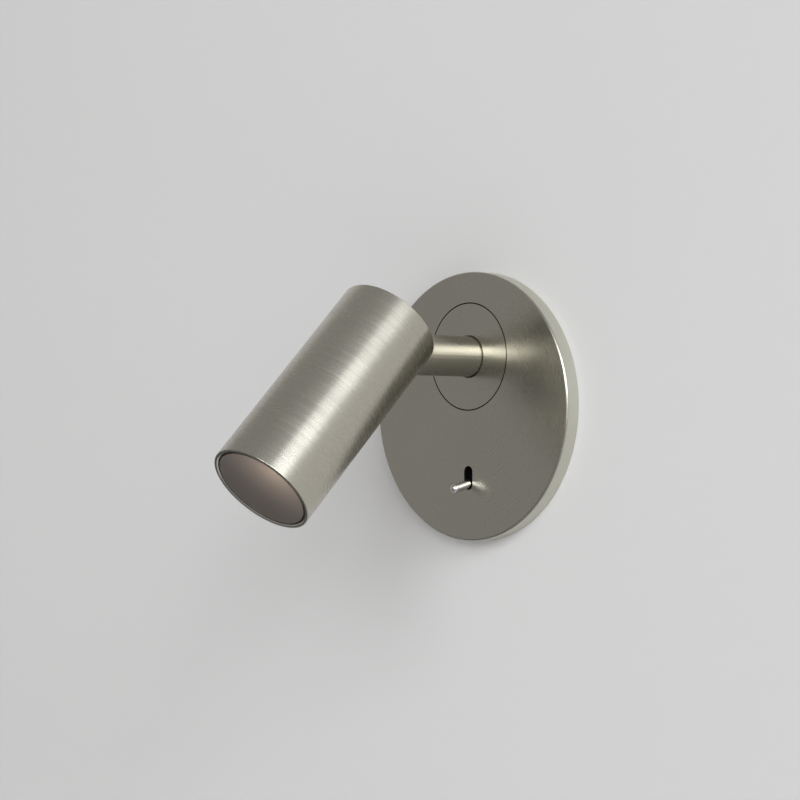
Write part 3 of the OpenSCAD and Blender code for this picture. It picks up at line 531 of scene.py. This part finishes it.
tube_shape = turned_shape([
    (BORE_R, -HEAD_REAR, BORE_ROUND), (HEAD_R, -HEAD_REAR, HEAD_ROUND), (HEAD_R, HEAD_FRONT, HEAD_ROUND),
    (BORE_R + BEVEL, HEAD_FRONT), (BORE_R, HEAD_FRONT - BEVEL)])
for band in range(FIRST_BAND, LAST_BAND + 1):
    everything = list(tube_shape.verts) + list(tube_shape.edges) + list(tube_shape.faces)
    bmesh.ops.bisect_plane(tube_shape, geom=everything, plane_co=(0, 0, band * BAND * MM),
                           plane_no=(0, 0, 1))
brush_map(tube_shape)
head_tube = as_object(tube_shape, "head_tube_brushed")
cut_away(head_tube, stem_sweep() + [grub_hole()])
settle(head_tube, ON_HEAD, nickel_tube, "head", "brushed_nickel", "head_tube")
head_tube.data.materials.append(cut_end_painted_shade)
forwards = ON_HEAD.to_3x3() @ Vector((0, 0, 1))
# The end face takes the darker painted shade of the cut end
for facet in head_tube.data.polygons:
    if facet.normal.dot(forwards) > END_ON:
        facet.material_index = 1

cap_shape = turned_shape([
    (0, -HEAD_REAR), (CAP_R, -HEAD_REAR, BORE_ROUND), (CAP_R, -HEAD_REAR + CAP_T), (0, -HEAD_REAR + CAP_T)])
brush_map(cap_shape)
rear_cap = as_object(cap_shape, "rear_cap_brushed")
cut_away(rear_cap, stem_sweep())
settle(rear_cap, ON_HEAD, nickel_tube, "head", "brushed_nickel", "rear_cap")

# Lens and its black ring
LENS_R = 17.05
LENS_FRONT = 67.3
LENS_T = 1.95
LENS_DISH = 0.5
LENS_RIM = 0.3
DISH_STEPS = 16
# The lens's brown tint, and the lighter colour painted near one edge as painted light
LENS_DARK = "5a5047"
LENS_PAINTED_LIGHT = "d0b69e"
LENS_IOR = 1.58
LENS_SMOOTH = 0.33
LENS_ROUGH = 0.4
# The satin's real grain is under 0.1 mm and is drawn at 0.5 mm so that it shows
FROST_SIZE = 0.5
FROST_BUMP = 0.1
FROST_DEPTH = 0.01
# Painted light: the lens colour turns lighter round this place near its edge, over this reach and with this
# falloff
PAINTED_LIGHT_PLACE = (14.7 * MM, 8.5 * MM, LENS_FRONT * MM)
PAINTED_LIGHT_REACH = 30.0
PAINTED_LIGHT_POWER = 2.5


def smoked_lens():
    """Satin polycarbonate over the reflector, tinted brown, with painted light: the colour is painted lighter
    towards one edge, standing for light that shines through there, and the satin blurs it."""
    material, tree = new_material("smoked_satin_lens_painted_light")
    coordinates = add(tree, "ShaderNodeTexCoord").outputs["Object"]
    back = ON_HEAD.inverted()
    local = add(tree, "ShaderNodeMapping", {
        "Vector": coordinates, "Location": back.to_translation(), "Rotation": back.to_euler()}).outputs[0]
    # Painted light: nearer the place, the colour turns from the brown tint to the painted lighter one
    away = add(tree, "ShaderNodeVectorMath", {
        0: local, 1: PAINTED_LIGHT_PLACE}, operation="DISTANCE").outputs["Value"]
    painted_light_ramp = add(tree, "ShaderNodeMapRange", {
        "Value": away, "From Min": 0.0, "From Max": PAINTED_LIGHT_REACH * MM, "To Min": 1.0, "To Max": 0.0}).outputs[0]
    share = add(tree, "ShaderNodeMath", {0: painted_light_ramp, 1: PAINTED_LIGHT_POWER}, operation="POWER").outputs[0]
    frost = smudges(tree, FROST_SIZE)
    height = add(tree, "ShaderNodeBump", {
        "Height": frost, "Strength": FROST_BUMP, "Distance": FROST_DEPTH * MM}).outputs[0]
    shader = add(tree, "ShaderNodeBsdfPrincipled", {
        "Base Color": blend_colours(tree, share, LENS_DARK, LENS_PAINTED_LIGHT), "Metallic": 0.0,
        "Roughness": spread(tree, frost, LENS_SMOOTH, LENS_ROUGH), "IOR": LENS_IOR, "Normal": height})
    finish_shader(tree, shader)
    return material


lens_mouth_r = LENS_R - LENS_RIM
lens_outline = [(LENS_R, LENS_FRONT - LENS_T), (LENS_R, LENS_FRONT), (lens_mouth_r, LENS_FRONT)]
for step in range(1, DISH_STEPS + 1):
    share = 1 - step / DISH_STEPS
    lens_outline.append((lens_mouth_r * share, LENS_FRONT - LENS_DISH * (1 - share * share)))
lens_outline.append((0, LENS_FRONT - LENS_T))
lens = as_object(turned_shape(lens_outline), "lens_satin")
settle(lens, ON_HEAD, smoked_lens(), "head", "smoked_lens", "lens")

GASKET_FRONT = 66.7
GASKET_LIP_R = 16.05
GASKET_BACK = 64.0
GASKET_ROUND = 0.1
LENS_FIT = 0.05
seat_r = LENS_R + LENS_FIT
seat_back = LENS_FRONT - LENS_T - LENS_FIT
ring_shape = turned_shape([
    (GASKET_LIP_R, GASKET_BACK), (CAP_R, GASKET_BACK), (CAP_R, GASKET_FRONT, GASKET_ROUND),
    (seat_r, GASKET_FRONT, GASKET_ROUND), (seat_r, seat_back), (GASKET_LIP_R, seat_back)])
lens_ring = as_object(ring_shape, "lens_ring")
settle(lens_ring, ON_HEAD, rubber, "head", "black_rubber", "lens_gasket")

# Toggle lever with its domed, grooved tip
LEVER_R = 1.7
LEVER_L = 17.5
LEVER_NECK_R = 1.2
LEVER_NECK_L = 4.4
LEVER_TAIL_R = 0.8
LEVER_TAIL_L = 6.6
LEVER_BALL_R = 2.1
LEVER_STEPS = 64
ARC_STEPS = 12
GROOVE_R = 0.3
GROOVE_AT = 1.9
GROOVE_ANGLES = (90, 60, 30, 0, -30, -60, -90)
SWITCH_BACK = 2.2
LEVER_SWING = math.radians(14.1)
ON_SWITCH = (Matrix.Translation((0, SWITCH_BACK * MM, -SWITCH_DOWN * MM)) @ ON_WALL
             @ Matrix.Rotation(LEVER_SWING, 4, "X"))


def arc(middle, radius, start, end):
    """Outline points on a circle round the axis at the height middle, from start to end in degrees."""
    angles = [math.radians(start + (end - start) * i / ARC_STEPS) for i in range(ARC_STEPS + 1)]
    return [(radius * math.cos(angle), middle + radius * math.sin(angle)) for angle in angles]


ball_to_tail = -math.degrees(math.acos(LEVER_TAIL_R / LEVER_BALL_R))
ball_to_neck = math.degrees(math.acos(LEVER_NECK_R / LEVER_BALL_R))
groove_z = LEVER_L - GROOVE_AT
groove = [(LEVER_R - GROOVE_R * math.cos(a), groove_z - GROOVE_R * math.sin(a))
          for a in [math.radians(d) for d in GROOVE_ANGLES]]
lever_outline = ([(0, -LEVER_TAIL_L), (LEVER_TAIL_R, -LEVER_TAIL_L)]
                 + arc(0, LEVER_BALL_R, ball_to_tail, ball_to_neck)
                 + [(LEVER_NECK_R, LEVER_NECK_L), (LEVER_R, LEVER_NECK_L)] + groove
                 + arc(LEVER_L - LEVER_R, LEVER_R, 0, 90))
lever_outline[-1] = (0, LEVER_L)
lever = as_object(turned_shape(lever_outline, LEVER_STEPS), "lever_polished")
settle(lever, ON_SWITCH, polished, "switch_lever", "polished_nickel", "switch_lever")


# Stage: a plain pale wall and a floor below
WALL_HALF = 3.0
FLOOR_DOWN = 1.3
# The wall is cut out under the faceplate, so that the parts in the can show and are lit from behind
CUT_OUT_R = 48.6
CUT_OUT_STEPS = 128
WALL_COLOUR = "dfdcd8"
FLOOR_COLOUR = "dcdcdc"
FLOOR_MIRRORED = "8c8c8c"
FLOOR_SEEN = "b9b9b9"
ROLLER_SIZE = 3.0
ROLLER_BUMP = 0.04
ROLLER_DEPTH = 0.05


def stage_paint(name, colour, see_through_back=False, mirrored=None, seen=None):
    """Matt emulsion paint with a faint roller texture, about 3 mm across: an even pale ground. Mirrored is the
    shade that the metal shows of it, and seen the shade that the camera does."""
    material, tree = new_material(name)
    texture = smudges(tree, ROLLER_SIZE)
    height = add(tree, "ShaderNodeBump", {
        "Height": texture, "Strength": ROLLER_BUMP, "Distance": ROLLER_DEPTH * MM}).outputs[0]
    shade = linear(colour)
    if mirrored:
        rays = add(tree, "ShaderNodeLightPath")
        shade = blend_colours(tree, rays.outputs["Is Glossy Ray"], colour, mirrored)
        shade = blend_colours(tree, rays.outputs["Is Camera Ray"], shade, seen)
    shader = add(tree, "ShaderNodeBsdfDiffuse", {"Color": shade, "Normal": height})
    if see_through_back:
        back = add(tree, "ShaderNodeNewGeometry").outputs["Backfacing"]
        looked_at = add(tree, "ShaderNodeLightPath").outputs["Is Camera Ray"]
        both = add(tree, "ShaderNodeMath", {0: back, 1: looked_at}, operation="MULTIPLY").outputs[0]
        clear = add(tree, "ShaderNodeBsdfTransparent")
        shader = add(tree, "ShaderNodeMixShader", {0: both, 1: shader.outputs[0], 2: clear.outputs[0]})
    finish_shader(tree, shader)
    return material


wall_shape = bmesh.new()
bmesh.ops.create_circle(wall_shape, cap_ends=False, segments=CUT_OUT_STEPS, radius=CUT_OUT_R * MM,
                        matrix=ON_WALL)
bmesh.ops.create_grid(wall_shape, x_segments=1, y_segments=1, size=WALL_HALF, matrix=ON_WALL)
bmesh.ops.delete(wall_shape, geom=list(wall_shape.faces), context="FACES_ONLY")
bmesh.ops.triangle_fill(wall_shape, edges=list(wall_shape.edges), use_beauty=True)
for face in wall_shape.faces:
    face.normal_update()
    if face.normal.y > 0:
        face.normal_flip()
wall = as_object(wall_shape, "wall")
wall.data.materials.append(stage_paint("wall_paint", WALL_COLOUR, see_through_back=True))
floor_shape = bmesh.new()
bmesh.ops.create_grid(floor_shape, x_segments=1, y_segments=1, size=WALL_HALF,
                      matrix=Matrix.Translation((0, -WALL_HALF, -FLOOR_DOWN)))
floor = as_object(floor_shape, "floor")
floor.data.materials.append(
    stage_paint("floor_paint", FLOOR_COLOUR, mirrored=FLOOR_MIRRORED, seen=FLOOR_SEEN))


# Light

# An even room, which lights and is mirrored at the lower level and is seen by the camera at the higher one
ROOM_LEVEL = 0.33
ROOM_SEEN = 0.8
ROOM_COLOUR = "ffffff"
LIGHT_REACH = 5.0
COOL = "f3f8ff"
UPWARDS = (0, 0, 1)
# A large soft panel at the upper right, two smaller ones, and a long strip close to the wall that draws the
# bright line along the head. Each gives its name, direction, width and height in metres, watts, and the way
# that its width runs
PANELS = [
    ("key_panel", (0.58, -0.70, 0.40), 2.5, 3.7, 131.0, UPWARDS),
    ("low_panel", (0.853, -0.5, 0.02), 2.0, 3.2, 24.0, UPWARDS),
    ("front_low_panel", (-0.30, -0.87, -0.40), 1.6, 1.6, 14.0, UPWARDS),
    ("wall_strip", (0.928, -0.14, 0.342), 3.8, 1.15, 160.0, (-0.40, -0.65, 0.65)),
]


def soft_panel(name, towards, wide, high, power, long_side):
    """A panel that faces the lamp from the direction given, its width along long_side."""
    back = Vector(towards).normalized()
    across = Vector(long_side)
    across = (across - across.dot(back) * back).normalized()
    data = bpy.data.lights.new(name, "AREA")
    data.shape = "RECTANGLE"
    data.size = wide
    data.size_y = high
    data.energy = power
    data.color = linear(COOL)[:3]
    panel = bpy.data.objects.new(name, data)
    turn = Matrix((across, back.cross(across), back)).transposed().to_4x4()
    panel.matrix_world = Matrix.Translation(back * LIGHT_REACH) @ turn
    scene.collection.objects.link(panel)


for settings in PANELS:
    soft_panel(*settings)

world = bpy.data.worlds.new("room")
world.use_nodes = True
room = world.node_tree
room.nodes.clear()
looked_at = add(room, "ShaderNodeLightPath").outputs["Is Camera Ray"]
level = add(room, "ShaderNodeMapRange", {
    "Value": looked_at, "To Min": ROOM_LEVEL, "To Max": ROOM_SEEN}).outputs[0]
background = add(room, "ShaderNodeBackground", {"Color": linear(ROOM_COLOUR), "Strength": level})
add(room, "ShaderNodeOutputWorld", {"Surface": background.outputs[0]})
scene.world = world
